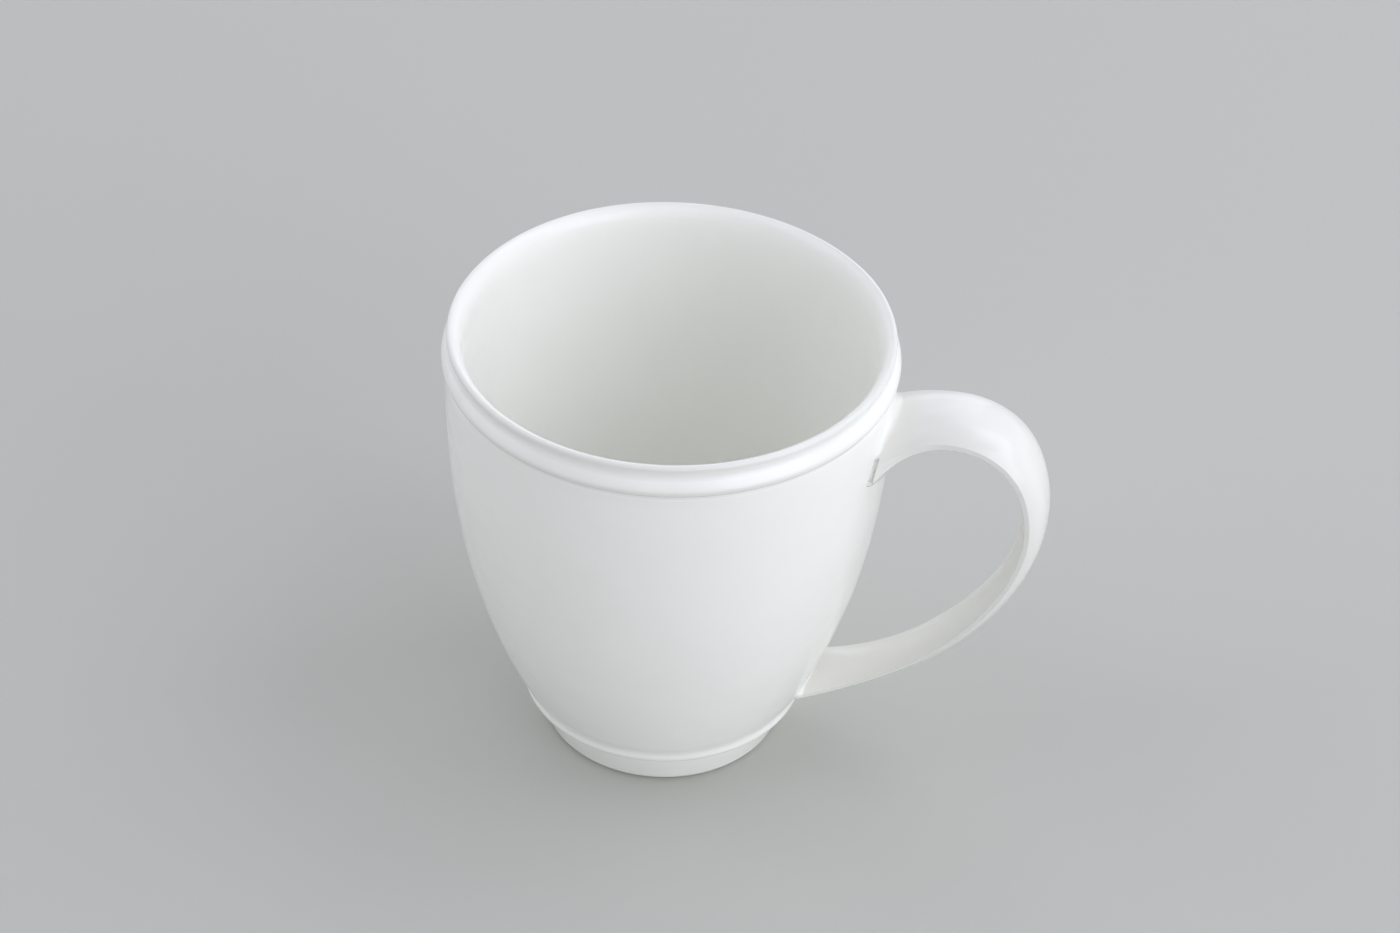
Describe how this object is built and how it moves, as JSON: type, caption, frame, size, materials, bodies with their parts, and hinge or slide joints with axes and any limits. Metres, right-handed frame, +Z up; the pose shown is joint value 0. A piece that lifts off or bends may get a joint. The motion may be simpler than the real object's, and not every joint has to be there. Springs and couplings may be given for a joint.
{
  "type": "shaving mug",
  "caption": "Glazed stoneware shaving mug: rolled lip, bead under the lip, wall that narrows to a ridged foot ring, and a tapering strap handle.",
  "frame": {"origin": "on the table, under the centre of the mug's box, handle included", "axes": "+X from the cup towards the handle, +Y sideways, +Z up"},
  "size_m": [0.1326, 0.098, 0.1058],
  "materials": {
    "cup_glaze": "white gloss glaze over stoneware",
    "handle_glaze": "white gloss glaze over stoneware",
    "slip_glaze": "white gloss glaze over slip"
  },
  "bodies": {
    "root": {"cup_body": "cup_glaze", "handle": "handle_glaze", "upper_joint": "slip_glaze", "lower_joint": "slip_glaze"}
  },
  "joints": []
}
